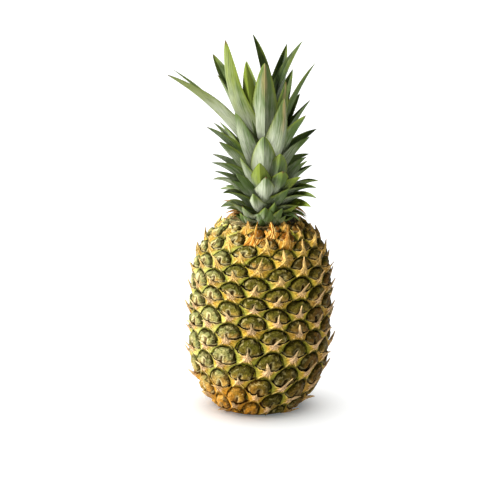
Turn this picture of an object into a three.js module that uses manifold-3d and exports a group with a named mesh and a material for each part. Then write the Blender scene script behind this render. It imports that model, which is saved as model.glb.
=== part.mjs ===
// A whole ripe pineapple standing on its flat base: one fused fruit of spiral eyes and its leafy crown.
// Millimetres. +Z is up, -Y is the front, and the origin is the middle of the flat base.
import * as THREE from 'three';
import { mergeVertices } from 'three/addons/utils/BufferGeometryUtils.js';
import Module from 'manifold-3d';

const wasm = await Module();
wasm.setup();

// ---------- driving dimensions ----------

// the fruit's outline, a barrel that leans a little to its right
const fruitHeight = 174.8;
const domeHeight = 177.8;
const waistHeight = 86.4;
const waistRadius = 62.0;
const baseRadius = 33.5;
const neckRadius = 13.7;
const lowerCurve = { rise: 3.386, swell: 0.915 };
const upperCurve = { rise: 3.383, swell: 1.939 };
const leanDegrees = 1.5;

// the spiral of eyes: each next eye is one turn step further round and one height step further up
const firstEye = -71;
const lastEye = 90;
const eyeStep = 1.085;
const eyeTurn = -99.926;
// skin length from the waist up to eye 0
const middleEyeArc = 10.6;
const frontEyeAngle = 13.3;
const stretch = { square: -2.336e-3, cube: 1.527e-5 };
const drift = { square: -0.878e-3, cube: 3.045e-5 };
// the two families of rows that cross on the skin, in eyes per row
const rightRows = 7;
const leftRows = 11;

// relief of one eye
const grooveDepth = 2.4;
const ringShare = 0.64;
const upperLobeHeight = 0.3;
const sideHeight = -1.0;
const bractHeight = 0.9;
// the spines grow long and broad on the last eyes, round the neck
const spine = { length: 9.5, width: 3.4, lift: 3.0 };
const neckSpine = { length: 19, width: 7, lift: 3.5 };
const neckEyes = { from: 58, to: 88 };
// where the skin crowds and flattens out towards its two ends
const crowding = 6;
const baseFade = 11;
const neckFade = 9;

// the crown: a short stem that carries every leaf
const crownOffset = 6.5;
const crownFoot = 175.1;
const stemRadius = 15.5;
const stemHeight = 82;
const rootSink = 2.5;
const rootShare = 0.38;
const firstRoot = 2.6;
const bladeMiddle = 2.2;
const bladeTip = 1.0;
const channelAtRoot = 0.42;
const channelAtTip = 0.22;
// how far apart two leaves are set where they would only touch
const touchGap = 0.02;
// side blades roll: tall ones turn their backs to the front, low ones their faces
const tallRoll = -45;
const lowRoll = 35;
const rollRise = { from: 20, to: 70 };

// Leaves of the front and sides, from the top whorl down: azimuth from the front in degrees (+ towards +X),
// reach of its tip from the crown's axis, rise of its tip over the crown's foot, width, and bow, which
// is how far the blade arches over its chord as a share of that chord.
const longLeaves = [
  [-110, 12, 169, 20, 0.08], [-50, 46, 166, 22, 0.02], [-125, 58, 147, 22, 0.02], [-78, 44, 136, 16, 0.03],
  [-38, 28, 147, 20, -0.02], [-1, 30, 147, 26, -0.05], [150, 40, 156, 20, 0.05], [105, 35, 162, 20, 0.08],
  [85, 45, 144, 15, 0.05], [45, 26, 129, 18, -0.02], [22, 43, 122, 26, -0.06], [92, 41, 110, 19, 0.06],
  [-63, 97, 139, 24, 0.12], [-98, 80, 134, 15, 0.08], [-112, 53, 110, 17, 0.06], [-42, 40, 102, 27, -0.04],
  [62, 41, 99, 21, 0.05],
];
const middleLeaves = [
  [62, 45, 80, 17, 0.06], [95, 28, 68, 16, 0.03], [68, 40, 61, 17, 0.04], [80, 39, 56, 16, 0.04],
  [95, 43, 50, 16, 0.05], [-100, 47, 88, 14, 0.05], [-92, 41, 90, 14, 0.05], [-62, 59, 90, 16, 0.07],
  [-55, 50, 77, 19, 0.03], [-68, 51, 64, 15, 0.09], [-60, 55, 58, 17, 0.09], [-2, 38, 83, 28, -0.10],
  [22, 36, 67, 23, -0.08], [-33, 41, 64, 21, -0.06], [-7, 41, 60, 23, -0.14], [24, 39, 52, 24, -0.12],
  [-40, 40, 49, 19, -0.03], [45, 45, 47, 19, -0.02], [-48, 41, 43, 17, 0.00], [1, 40, 45, 25, -0.16],
];
const shortLeaves = [
  [70, 51, 41, 15, 0.08], [58, 54, 36, 14, 0.12], [55, 56, 28, 14, 0.15], [55, 50, 18, 18, 0.15],
  [75, 39, 6, 7, 0.18], [45, 44, 6, 7, 0.18], [-72, 48, 48, 14, 0.09], [-62, 53, 44, 14, 0.09],
  [-58, 45, 31, 14, 0.12], [-60, 46, 18, 16, 0.13], [-70, 37, 13, 9, 0.14], [-85, 33, 20, 12, 0.09],
  [33, 39, 37, 21, -0.06], [-16, 39, 32, 21, -0.05], [22, 36, 20, 22, -0.03], [-36, 37, 21, 23, -0.05],
  [15, 29, 12, 16, 0.00], [-1, 29, 13, 16, 0.00], [-45, 34, 9, 11, 0.02], [-30, 27, 9, 16, 0.00],
  [48, 31, 10, 13, 0.02], [-15, 25, 5, 17, 0.02], [33, 26, 5, 16, 0.02], [-55, 26, 5, 16, 0.02],
  [8, 24, 4, 16, 0.02], [65, 27, 5, 16, 0.02], [-85, 27, 6, 16, 0.02], [95, 27, 6, 16, 0.02],
];
// Leaves at the back follow the same spiral by rule.
const backLeaves = { count: 66, firstTurn: 40, turn: 137.5, from: 112, to: 252 };

// ---------- small helpers ----------

const radians = THREE.MathUtils.degToRad;
const mix = THREE.MathUtils.lerp;
const leanShare = Math.tan(radians(leanDegrees));

function point(x, y, z) {
  return new THREE.Vector3(x, y, z);
}

// a direction seen from above: 0 is the front, + turns towards +X
function outward(angle) {
  return point(Math.sin(radians(angle)), -Math.cos(radians(angle)), 0);
}

function geometryOf(points, triangles) {
  const geometry = new THREE.BufferGeometry();
  geometry.setAttribute('position', new THREE.Float32BufferAttribute(points.flatMap((p) => p.toArray()), 3));
  geometry.setIndex(triangles.flat());
  return geometry;
}

function solidOf(geometry) {
  const bare = geometry.clone();
  bare.deleteAttribute('normal');
  bare.deleteAttribute('uv');
  const merged = mergeVertices(bare, 1e-4);
  const mesh = new wasm.Mesh({
    numProp: 3,
    vertProperties: new Float32Array(merged.attributes.position.array),
    triVerts: new Uint32Array(merged.index.array),
  });
  return new wasm.Manifold(mesh);
}

// the triangles of a joined solid, sorted into shells that share no vertex
function shellsOf(corners, vertexCount) {
  const owner = Array.from({ length: vertexCount }, (_, i) => i);
  const find = (i) => {
    let at = i;
    while (owner[at] !== at) {
      owner[at] = owner[owner[at]];
      at = owner[at];
    }
    return at;
  };
  for (let i = 0; i < corners.length; i += 3) {
    owner[find(corners[i])] = find(corners[i + 1]);
    owner[find(corners[i + 1])] = find(corners[i + 2]);
  }
  const shells = new Map();
  for (let i = 0; i < corners.length; i += 3) {
    const name = find(corners[i]);
    if (!shells.has(name)) {
      shells.set(name, []);
    }
    shells.get(name).push(corners[i], corners[i + 1], corners[i + 2]);
  }
  return [...shells.values()];
}

// Two leaves that only touch share a place but no vertex: each such vertex draws back a little
// towards its own faces, so that the touch opens or closes.
function partTouches(places, triangles) {
  const vertex = (i) => point(places[3 * i], places[3 * i + 1], places[3 * i + 2]);
  const inwards = new Map();
  for (let i = 0; i < triangles.length; i += 3) {
    const face = triangles.slice(i, i + 3);
    const middle = face.reduce((sum, corner) => sum.add(vertex(corner)), point(0, 0, 0)).divideScalar(3);
    face.forEach((corner) => {
      const pull = middle.clone().sub(vertex(corner)).normalize();
      inwards.set(corner, (inwards.get(corner) ?? point(0, 0, 0)).add(pull));
    });
  }
  const touching = new Map();
  inwards.forEach((pull, i) => {
    const name = vertex(i).toArray().map((value) => value.toFixed(3)).join(' ');
    touching.set(name, [...(touching.get(name) ?? []), i]);
  });
  [...touching.values()].filter((same) => same.length > 1).flat().forEach((i) => {
    vertex(i).addScaledVector(inwards.get(i).normalize(), touchGap).toArray(places, 3 * i);
  });
}

// The outer shell of a joined solid: pockets sealed between leaves are filled, and loose scraps dropped.
function outerShell(solid) {
  const mesh = solid.getMesh();
  const places = Array.from(mesh.vertProperties);
  const shells = shellsOf(Array.from(mesh.triVerts), places.length / 3);
  const largest = shells.reduce((a, b) => (b.length > a.length ? b : a));
  partTouches(places, largest);
  const geometry = new THREE.BufferGeometry();
  geometry.setAttribute('position', new THREE.Float32BufferAttribute(places, 3));
  geometry.setIndex(largest);
  return geometry;
}

function joined(solids) {
  return solids.reduce((whole, next) => whole.add(next));
}

// ---------- the fruit's outline ----------

function radiusAt(z) {
  if (z < waistHeight) {
    const below = 1 - z / waistHeight;
    const share = (1 - below ** lowerCurve.rise) ** (1 / lowerCurve.swell);
    return baseRadius + (waistRadius - baseRadius) * share;
  }
  const above = (z - waistHeight) / (domeHeight - waistHeight);
  const share = (1 - above ** upperCurve.rise) ** (1 / upperCurve.swell);
  return neckRadius + (waistRadius - neckRadius) * share;
}

// the outline as a run of points with the length of skin from the base up to each
function measureOutline() {
  const samples = 1200;
  const outline = [];
  let arc = 0;
  for (let i = 0; i <= samples; i += 1) {
    // finer towards both ends, where the outline turns
    const z = fruitHeight * (0.5 - 0.5 * Math.cos((Math.PI * i) / samples));
    const radius = radiusAt(z);
    if (i > 0) {
      arc += Math.hypot(z - outline[i - 1].z, radius - outline[i - 1].radius);
    }
    outline.push({ arc, z, radius });
  }
  return outline;
}

const outline = measureOutline();
const skinLength = outline.at(-1).arc;
const waistArc = outline.find((at) => at.z >= waistHeight).arc;

function outlineAt(arc) {
  const last = outline.length - 2;
  let low = 0;
  let high = last;
  while (low < high) {
    const middle = Math.ceil((low + high) / 2);
    if (outline[middle].arc <= arc) {
      low = middle;
    } else {
      high = middle - 1;
    }
  }
  const a = outline[low];
  const b = outline[low + 1];
  const share = THREE.MathUtils.clamp((arc - a.arc) / (b.arc - a.arc), 0, 1);
  const run = Math.max(b.arc - a.arc, 1e-9);
  return {
    z: mix(a.z, b.z, share),
    radius: mix(a.radius, b.radius, share),
    slopeOut: (b.z - a.z) / run,
    slopeUp: (a.radius - b.radius) / run,
  };
}

// The last eyes at each end crowd together towards the edge and never cross it.
function crowded(distance) {
  return distance > crowding ? distance : crowding * Math.exp(distance / crowding - 1);
}

// a point of the skin, raised along the skin's outward direction; the relief fades at both ends
function skinPoint(arc, angle, raise) {
  const toTop = crowded(skinLength - arc);
  const at = outlineAt(Math.min(crowded(arc), skinLength - toTop));
  const fade = THREE.MathUtils.smoothstep(at.z, 0, baseFade) * THREE.MathUtils.smoothstep(toTop, 0, neckFade);
  const lift = raise * fade;
  const z = at.z + lift * at.slopeUp;
  const p = outward(angle).multiplyScalar(at.radius + lift * at.slopeOut);
  return point(p.x + leanShare * z, p.y, z);
}

// ---------- the spiral of eyes ----------

// A place on the spiral lattice: eye number n, then a share of the way to its right-hand neighbour
// (rightRows eyes on) and to its left-hand one (leftRows eyes on).
function latticePlace(n, right, left) {
  const t = (n + rightRows * right + leftRows * left) * eyeStep;
  const rightTurn = rightRows * eyeTurn + 720;
  const leftTurn = leftRows * eyeTurn + 1080;
  const arc = waistArc + middleEyeArc + t + stretch.square * t ** 2 + stretch.cube * t ** 3;
  const turned = n * eyeTurn + right * rightTurn + left * leftTurn;
  const angle = frontEyeAngle + turned + drift.square * t ** 2 + drift.cube * t ** 3;
  return { arc, angle };
}

// the six corners of an eye, where three eyes meet, in order round it
const corners = [
  [2 / 3, 1 / 3], [1 / 3, 2 / 3], [-1 / 3, 1 / 3], [-2 / 3, -1 / 3], [-1 / 3, -2 / 3], [1 / 3, -1 / 3],
];
const ringHeights = [upperLobeHeight, upperLobeHeight, sideHeight, bractHeight, bractHeight, sideHeight];

class Skin {
  constructor() {
    this.points = [];
    this.triangles = [];
    this.named = new Map();
  }

  add(p) {
    this.points.push(p);
    return this.points.length - 1;
  }

  // a corner is shared by three eyes, so it is found again by its place
  shared(place, raise) {
    const p = skinPoint(place.arc, place.angle, raise);
    const name = p.toArray().map((value) => value.toFixed(2)).join(' ');
    if (!this.named.has(name)) {
      this.named.set(name, this.add(p));
    }
    return this.named.get(name);
  }

  face(a, b, c) {
    this.triangles.push([a, b, c]);
  }

  // a band of triangles between two closed rings; the inner ring may have fewer points
  band(outer, inner) {
    const steps = outer.length;
    for (let i = 0; i < steps; i += 1) {
      const next = (i + 1) % steps;
      const a = Math.floor((i * inner.length) / steps);
      const b = Math.floor(((i + 1) * inner.length) / steps) % inner.length;
      this.face(outer[i], outer[next], inner[a]);
      if (a !== b) {
        this.face(outer[next], inner[b], inner[a]);
      }
    }
  }

  fan(ring, tip) {
    ring.forEach((corner, i) => this.face(corner, ring[(i + 1) % ring.length], tip));
  }
}

// One eye: a groove at its six corners, a raised ring of lobes and bract, and the bract's spine.
function addEye(skin, n) {
  const groove = corners.map(([a, b]) => skin.shared(latticePlace(n, a, b), -grooveDepth));
  const ring = corners.map(([a, b], i) => {
    const place = latticePlace(n, a * ringShare, b * ringShare);
    return skin.add(skinPoint(place.arc, place.angle, ringHeights[i]));
  });
  skin.band(groove, ring);
  addSpine(skin, n, ring);
}

// The spine stands on a three-cornered root at the eye's middle and points up the skin.
function addSpine(skin, n, ring) {
  const middle = latticePlace(n, 0, 0);
  const degreesPerMm = 180 / Math.PI / Math.max(outlineAt(middle.arc).radius, 10);
  const neck = THREE.MathUtils.smoothstep(n, neckEyes.from, neckEyes.to);
  const half = (mix(spine.width, neckSpine.width, neck) / 2) * degreesPerMm;
  const above = skin.add(skinPoint(middle.arc + 1.2, middle.angle, bractHeight));
  const left = skin.add(skinPoint(middle.arc - 1.4, middle.angle - half, bractHeight + 0.3));
  const right = skin.add(skinPoint(middle.arc - 1.4, middle.angle + half, bractHeight + 0.3));
  const reach = middle.arc + mix(spine.length, neckSpine.length, neck);
  const tip = skin.add(skinPoint(reach, middle.angle, mix(spine.lift, neckSpine.lift, neck)));
  skin.band(ring, [above, left, right]);
  skin.fan([above, left, right], tip);
}

// the closed loop of edges that belong to one triangle only and pass below or above the waist
function openLoop(skin, isUpper) {
  const next = new Map();
  const seen = new Set(skin.triangles.flatMap(([a, b, c]) => [`${a} ${b}`, `${b} ${c}`, `${c} ${a}`]));
  skin.triangles.forEach(([a, b, c]) => {
    [[a, b], [b, c], [c, a]].forEach(([from, to]) => {
      const upper = skin.points[from].z > waistHeight;
      if (!seen.has(`${to} ${from}`) && upper === isUpper) {
        next.set(to, from);
      }
    });
  });
  const first = next.keys().next().value;
  const loop = [first];
  while (next.get(loop.at(-1)) !== first) {
    loop.push(next.get(loop.at(-1)));
  }
  return loop;
}

// closes one end with a ring at the given height and radius, then a flat disc
function closeEnd(skin, isUpper, z, radius) {
  const loop = openLoop(skin, isUpper);
  const ring = loop.map((i) => {
    const p = skin.points[i];
    const out = point(p.x - leanShare * p.z, p.y, 0).setLength(radius);
    return skin.add(point(out.x + leanShare * z, out.y, z));
  });
  skin.band(loop, ring);
  skin.fan(ring, skin.add(point(leanShare * z, 0, z)));
}

function fruitSkin() {
  const skin = new Skin();
  for (let n = firstEye; n <= lastEye; n += 1) {
    addEye(skin, n);
  }
  closeEnd(skin, false, 0, baseRadius - 1.5);
  closeEnd(skin, true, fruitHeight, neckRadius);
  return geometryOf(skin.points, skin.triangles);
}

// ---------- leaf blades ----------

// The middle line of a blade is a quadratic curve from root to tip that arches by a share of its chord.
function bladeCurve(root, tip, angle, bow) {
  const chord = tip.clone().sub(root);
  const along = chord.clone().normalize();
  const side = outward(angle + 90);
  const upper = along.clone().cross(side).normalize();
  const control = root.clone().add(tip).multiplyScalar(0.5).addScaledVector(upper, bow * 2 * chord.length());
  return new THREE.QuadraticBezierCurve3(root, control, tip);
}

// half the width of a blade a share of the way along it: broad foot, long taper, short point
function bladeHalfWidth(width, share) {
  const taper = Math.max(1 - share ** 2.6, 0) ** 0.6;
  return Math.max((width / 2) * taper, 0.5);
}

// A channelled blade, four points round each station: two edges, the channel's floor and the keel.
// It rolls about its own middle line, by nothing at the root up to the given angle at the tip.
function bladeGeometry(curve, angle, width, roll, stations) {
  const points = [];
  const triangles = [];
  for (let i = 0; i <= stations; i += 1) {
    const share = 1 - (1 - i / stations) ** 1.25;
    const at = curve.getPoint(share);
    const along = curve.getTangent(share);
    const side = outward(angle + 90).applyAxisAngle(along, radians(roll) * share);
    const upper = along.clone().cross(side).normalize();
    const half = bladeHalfWidth(width, share);
    const rise = half * mix(channelAtRoot, channelAtTip, share);
    const keel = mix(bladeMiddle, bladeTip, share);
    const place = (across, up) => at.clone().addScaledVector(side, across).addScaledVector(upper, up);
    points.push(place(-half, rise), place(0, 0), place(half, rise), place(0, -keel));
  }
  for (let i = 0; i < stations; i += 1) {
    const a = i * 4;
    const b = a + 4;
    // every diagonal runs from an edge to the middle, alike on both faces, so a twist never crosses them
    [[0, 1], [2, 3]].forEach(([k, m]) => {
      triangles.push([a + k, b + m, a + m], [a + k, b + k, b + m]);
    });
    [[1, 2], [3, 0]].forEach(([k, m]) => {
      triangles.push([a + k, b + k, a + m], [b + k, b + m, a + m]);
    });
  }
  const end = stations * 4;
  [[0, 3, 1], [1, 3, 2]].forEach(([p, q, r]) => {
    triangles.push([p, r, q], [end + p, end + q, end + r]);
  });
  return geometryOf(points, triangles);
}

// ---------- the crown ----------

function stemSolid() {
  const steps = 5;
  const profile = [new THREE.Vector2(0, 0), new THREE.Vector2(stemRadius, 0)];
  for (let i = 1; i < steps; i += 1) {
    const share = i / steps;
    profile.push(new THREE.Vector2(stemRadius * Math.sqrt(1 - share ** 2), stemHeight * share));
  }
  profile.push(new THREE.Vector2(0, stemHeight));
  const stem = new THREE.LatheGeometry(profile, 16);
  stem.rotateX(Math.PI / 2);
  stem.translate(crownOffset, 0, crownFoot);
  return solidOf(stem);
}

function leafSolid([angle, reach, rise, width, bow]) {
  const foot = point(crownOffset, 0, crownFoot);
  const rootRise = firstRoot + rootShare * Math.max(rise, 0);
  const rootRadius = stemRadius * Math.sqrt(1 - (rootRise / stemHeight) ** 2) - rootSink;
  const root = foot.clone().addScaledVector(outward(angle), Math.max(rootRadius, 1));
  root.z += rootRise;
  const tip = foot.clone().addScaledVector(outward(angle), reach);
  tip.z += rise;
  const stations = root.distanceTo(tip) > 90 ? 6 : 4;
  const tall = THREE.MathUtils.smoothstep(rise, rollRise.from, rollRise.to);
  const roll = mix(lowRoll, tallRoll, tall) * Math.sin(radians(2 * angle));
  return solidOf(bladeGeometry(bladeCurve(root, tip, angle, bow), angle, width, roll, stations));
}

// back leaves: the higher on the spiral, the longer and the more upright
function backLeafRows() {
  const rows = [];
  for (let i = 0; i < backLeaves.count; i += 1) {
    const angle = (backLeaves.firstTurn + i * backLeaves.turn) % 360;
    if (angle > backLeaves.from && angle < backLeaves.to) {
      const share = i / backLeaves.count;
      const sway = Math.sin(i * 12.9898);
      rows.push([
        angle,
        mix(44, 40, share) + 9 * sway + 22 * share * (1 - share),
        mix(6, 138, share ** 0.9) + 5 * sway,
        mix(13, 19, share),
        mix(0.2, 0.04, share),
      ]);
    }
  }
  return rows;
}

function crownSolid() {
  const rows = [...longLeaves, ...middleLeaves, ...shortLeaves, ...backLeafRows()];
  return joined([stemSolid(), ...rows.map(leafSolid)]);
}

// ---------- the assembly ----------

function piece(name, geometry, colour, roughness) {
  const material = new THREE.MeshStandardMaterial({ color: colour, roughness, metalness: 0 });
  const mesh = new THREE.Mesh(geometry, material);
  mesh.name = name;
  return mesh;
}

const pineapple = new THREE.Group();
pineapple.add(piece('fruit', fruitSkin(), 0xb08a2e, 0.55));
pineapple.add(piece('crown', outerShell(crownSolid()), 0x6c8648, 0.6));

export default pineapple;
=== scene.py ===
# %% [markdown]
# # A whole ripe pineapple
# A barrel of six-sided eyes set in spirals, with a crown of stiff channelled leaves. It could be sculpted,
# but here it is worked out with numpy in millimetres and put into Blender in metres: formulas keep every
# eye where the solid model has it, and one number changes them all.

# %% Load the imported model
import itertools
import math

import bpy
import numpy as np
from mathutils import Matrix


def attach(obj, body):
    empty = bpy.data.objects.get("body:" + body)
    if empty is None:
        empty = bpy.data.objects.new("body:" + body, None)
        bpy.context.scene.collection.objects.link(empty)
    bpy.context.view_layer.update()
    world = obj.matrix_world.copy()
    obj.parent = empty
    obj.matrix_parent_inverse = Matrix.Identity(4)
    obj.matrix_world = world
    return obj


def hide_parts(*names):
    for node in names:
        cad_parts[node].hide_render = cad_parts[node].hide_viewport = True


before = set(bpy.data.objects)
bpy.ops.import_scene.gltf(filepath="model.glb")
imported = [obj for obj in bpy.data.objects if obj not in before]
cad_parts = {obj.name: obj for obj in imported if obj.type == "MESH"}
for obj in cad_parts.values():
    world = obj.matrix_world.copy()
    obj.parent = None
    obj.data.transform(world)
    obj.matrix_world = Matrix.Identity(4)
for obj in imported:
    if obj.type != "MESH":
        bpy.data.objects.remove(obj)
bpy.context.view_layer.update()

# %% [markdown]
# ## Camera
# The fruit stands as on a product page, seen from the front and a little from above. A near camera would
# swell its waist, so a long lens 1.8 m off keeps the sides nearly parallel.

# %% Aim the camera
AIM = np.array([-0.007, 0.0, 0.1469])
PITCH, DISTANCE = math.radians(13), 1.824
camera = bpy.data.objects.new("camera", bpy.data.cameras.new("camera"))
camera.data.lens, camera.data.sensor_width = 144, 36
camera.location = AIM + DISTANCE * np.array([0.0, -math.cos(PITCH), math.sin(PITCH)])
camera.rotation_euler = (math.pi / 2 - PITCH, 0, 0)
bpy.context.collection.objects.link(camera)
bpy.context.scene.camera = camera
print("camera", np.round(camera.location, 4))

# %% [markdown]
# ## Light and floor
# A white studio sweep and a soft main lamp from the upper left. A full white world would flatten the eyes,
# so the camera sees a white sky that lights the pieces only weakly. One strong lamp would throw a long
# shadow over the floor, so light linking sets the two apart: the key and a weak rim far to the left reach
# the pineapple alone, a low fill the fruit without its crown, the sweep the floor alone. The floor is one
# square, too wide for its edge to show.

# %% Make the sky
SKY_LIGHT, SKY_SEEN = 0.15, 0.95
scene = bpy.context.scene
scene.view_settings.view_transform = "Standard"
scene.world = bpy.data.worlds.new("studio")
scene.world.use_nodes = True
sky = scene.world.node_tree
air = sky.nodes["Background"]
air.inputs["Color"].default_value = (1.0, 0.98, 0.92, 1)
sight, strength = sky.nodes.new("ShaderNodeLightPath"), sky.nodes.new("ShaderNodeMath")
strength.operation = "MULTIPLY_ADD"
strength.inputs[1].default_value, strength.inputs[2].default_value = SKY_SEEN, SKY_LIGHT
sky.links.new(sight.outputs["Is Camera Ray"], strength.inputs[0])
sky.links.new(strength.outputs[0], air.inputs["Strength"])
print("sky", SKY_LIGHT, "for the pieces")

# %% Hang the lamps
groups = [bpy.data.collections.new(name) for name in ("pineapple", "body", "studio")]
pineapple, body, studio = groups
for group in groups:
    scene.collection.children.link(group)

# strength, softness, turn from the front (+ towards +X), height over the horizon, and what alone is lit
suns = {
    "key": (6.1, 12, -64, 40, pineapple),
    "low fill": (1.8, 60, -36, 2, body),
    "rim": (1.0, 40, -104, 16, pineapple),
    "sweep": (3.2, 100, -110, 74, studio),
    "overhead": (0.8, 90, 10, 80, None),
}
for name, (power, softness, turn, height, lit) in suns.items():
    lamp = bpy.data.objects.new(name, bpy.data.lights.new(name, "SUN"))
    lamp.data.energy, lamp.data.angle = power, math.radians(softness)
    lamp.rotation_euler = (math.radians(90 - height), 0, math.radians(turn))
    lamp.light_linking.receiver_collection = lit
    scene.collection.objects.link(lamp)
print("suns", list(suns))

# %% Lay the floor
floor_mesh = bpy.data.meshes.new("floor")
floor_mesh.from_pydata([(-9, -9, 0), (9, -9, 0), (9, 9, 0), (-9, 9, 0)], [], [(0, 1, 2, 3)])
floor = bpy.data.objects.new("floor", floor_mesh)
studio.objects.link(floor)
print("floor", floor.dimensions[0], "m wide")

# %% [markdown]
# ## Sums that the shapes share
# Each eye and leaf needs its own luck. The numbers of a random generator all move on when a leaf is added; a
# draw by number doesn't. The other helpers are a direction seen from above, a smooth step, a mix and a bell.

# %% Helpers
def direction(angle):
    """Unit vector (sin, -cos, 0) of an angle in degrees: 0 is the front and + turns towards +X."""
    turn = np.radians(angle)
    return np.stack([np.sin(turn), -np.cos(turn), np.zeros_like(turn)], -1)


def smooth(value, low, high):
    """3 s^2 - 2 s^3, where s is the share of the way from low to high, held between 0 and 1."""
    share = np.clip((value - low) / (high - low), 0, 1)
    return share * share * (3 - 2 * share)


def draw(number, kind):
    """A number from 0 to 1: what is left after the point of 43758.5 times the sine of the item."""
    return np.mod(np.sin(np.asarray(number) * 12.9898 + kind * 78.233) * 43758.5453, 1.0)


def phase(number, kind):
    """A draw as a direction in radians, from 0 to a whole turn."""
    return 6.28 * draw(number, kind)


def mix(a, b, share):
    """The value a share of the way from a to b."""
    return a + (b - a) * share


def bump(value, middle, width):
    """A bell: e to the power of minus the square of the distance from the middle in widths."""
    return np.exp(-(((value - middle) / width) ** 2))


print("a draw for eye 5:", np.round(draw(5, 1), 3))

# %% [markdown]
# ## The fruit's outline and skin
# A pineapple's side is a barrel: full at the waist, drawn in to a small flat base, rounder at the shoulder.
# It could be traced with a curve, but a superellipse above and below the waist gives the same line from ten
# numbers. Turned round an axis that leans a little, it becomes the skin. Grown rows aren't drawn with a
# ruler, so each place strays by slow waves, which close up where the turn does; noise wouldn't.

# %% Outline of the fruit
FRUIT_HEIGHT, DOME_HEIGHT, WAIST_HEIGHT = 174.8, 177.8, 86.4
WAIST_RADIUS, BASE_RADIUS, NECK_RADIUS = 62.0, 33.5, 13.7
LOWER_RISE, LOWER_SWELL, UPPER_RISE, UPPER_SWELL = 3.386, 0.915, 3.383, 1.939
LINE_POINTS = 1201


def radius_at(z):
    """End radius plus the rest times (1 - d^rise)^(1/swell), where d is the distance from the waist."""
    below = np.clip(1 - z / WAIST_HEIGHT, 0, 1)
    above = np.clip((z - WAIST_HEIGHT) / (DOME_HEIGHT - WAIST_HEIGHT), 0, 1)
    lower = BASE_RADIUS + (WAIST_RADIUS - BASE_RADIUS) * (1 - below**LOWER_RISE) ** (1 / LOWER_SWELL)
    upper = NECK_RADIUS + (WAIST_RADIUS - NECK_RADIUS) * (1 - above**UPPER_RISE) ** (1 / UPPER_SWELL)
    return np.where(z < WAIST_HEIGHT, lower, upper)


line_z = FRUIT_HEIGHT * (0.5 - 0.5 * np.cos(np.linspace(0, np.pi, LINE_POINTS)))
line_radius = radius_at(line_z)
line_arc = np.r_[0, np.cumsum(np.hypot(np.diff(line_z), np.diff(line_radius)))]
line_out = np.gradient(line_z, line_arc)
line_up = -np.gradient(line_radius, line_arc)
NECK_ARC = line_arc[-1]
WAIST_ARC = line_arc[np.argmax(line_z >= WAIST_HEIGHT)]
print("skin from base to neck, and to the waist", np.round([NECK_ARC, WAIST_ARC], 1), "mm")

# %% Points of the skin
LEAN = math.tan(math.radians(1.5))
WANDER_FADE = 25


def wander(arc, angle):
    """Slow sways in mm and degrees: sums of sines of height and turn that fade out at both ends."""
    turn = np.radians(angle)
    fade = smooth(arc, 0, WANDER_FADE) * smooth(NECK_ARC - arc, 0, WANDER_FADE)
    along = 1.0 * np.sin(3 * turn + arc / 12) + 0.7 * np.sin(7 * turn - arc / 9 + 1)
    sideways = 0.9 * np.sin(2 * turn + arc / 15 + 2) + 0.45 * np.sin(6 * turn + arc / 8)
    return fade * along, fade * sideways


def skin_point(arc, angle, lift):
    """The outline's point at that skin length, raised along the skin's outward direction, turned to that
    angle and leant by its height. Past the neck the line runs straight on."""
    arc, angle, lift = np.broadcast_arrays(arc, angle, lift)
    along, sideways = wander(arc, angle)
    arc, angle = arc + along, angle + sideways
    beyond = np.maximum(arc - NECK_ARC, 0)
    out, up = np.interp(arc, line_arc, line_out), np.interp(arc, line_arc, line_up)
    z = np.maximum(np.interp(arc, line_arc, line_z) + lift * up + beyond * out, 0)
    radius = np.interp(arc, line_arc, line_radius) + lift * out - beyond * up
    point = direction(angle) * radius[..., None]
    point[..., 0] += LEAN * z
    point[..., 2] = z
    return point


print("front of the waist", np.round(skin_point(WAIST_ARC, 0.0, 0.0), 1))

# %% [markdown]
# ## The spiral of eyes
# Eyes grow one after another, each turned by the same angle and set a little higher, so that 7 rows run up
# one way and 11 the other. An array of copies could place them, but a rule gives an eye's place by its
# number, and the eye by its place. Each fills a six-sided cell. Cut straight, the cells would look like
# tiles, so their upper edges bulge into their neighbours.

# %% Places on the spiral
RIGHT_ROWS, LEFT_ROWS = 7, 11
EYE_STEP, EYE_TURN = 1.085, -99.926
RIGHT_TURN, LEFT_TURN = RIGHT_ROWS * EYE_TURN + 720, LEFT_ROWS * EYE_TURN + 1080
# eye 0 in mm over the waist and in degrees, and how the rows bend by the square and the cube
ZERO_STEP, ZERO_TURN = 10.6, 13.3
ARC_SQUARE, ARC_CUBE, TURN_SQUARE, TURN_CUBE = 2.336e-3, 1.527e-5, 0.878e-3, 3.045e-5
CELL_WIDTH = 1.5
CROWDING = 6.0


def climb(t):
    """Skin length t even mm after eye 0: eye 0's own + t - 0.0023 t^2 + 0.000015 t^3."""
    return WAIST_ARC + ZERO_STEP + t - ARC_SQUARE * t**2 + ARC_CUBE * t**3


def row_shares(across, up):
    """A place in a cell as steps along its two rows: half of up, plus or minus half of across / 1.5."""
    return (up + across / CELL_WIDTH) / 2, (up - across / CELL_WIDTH) / 2


def eye_place(number, across, up):
    """Skin length and angle of a place in an eye's cell: across from -1 to 1 between its side corners, up
    from -1 to 1 between its flat edges."""
    right, left = row_shares(across, up)
    t = (number + RIGHT_ROWS * right + LEFT_ROWS * left) * EYE_STEP
    angle = ZERO_TURN + number * EYE_TURN + right * RIGHT_TURN + left * LEFT_TURN
    return climb(t), angle - TURN_SQUARE * t**2 + TURN_CUBE * t**3


def crowd(distance):
    """Distances under 6 mm fall off as 6 e^(d/6 - 1), never down to 0, so the last eyes crowd at the edge."""
    near = CROWDING * np.exp(np.minimum(distance, 1.5 * CROWDING) / CROWDING - 1)
    return np.where(distance > CROWDING, distance, near)


def held(arc):
    """A skin length that stays between base and neck, crowded at both."""
    return np.minimum(crowd(arc), NECK_ARC - crowd(NECK_ARC - arc))


print("eye 0 stands at", np.round(eye_place(0, 0, 0), 1))

# %% Which eye a spot belongs to
BULGE = 0.14
even_steps = np.linspace(-110, 130, 4801)


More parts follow.
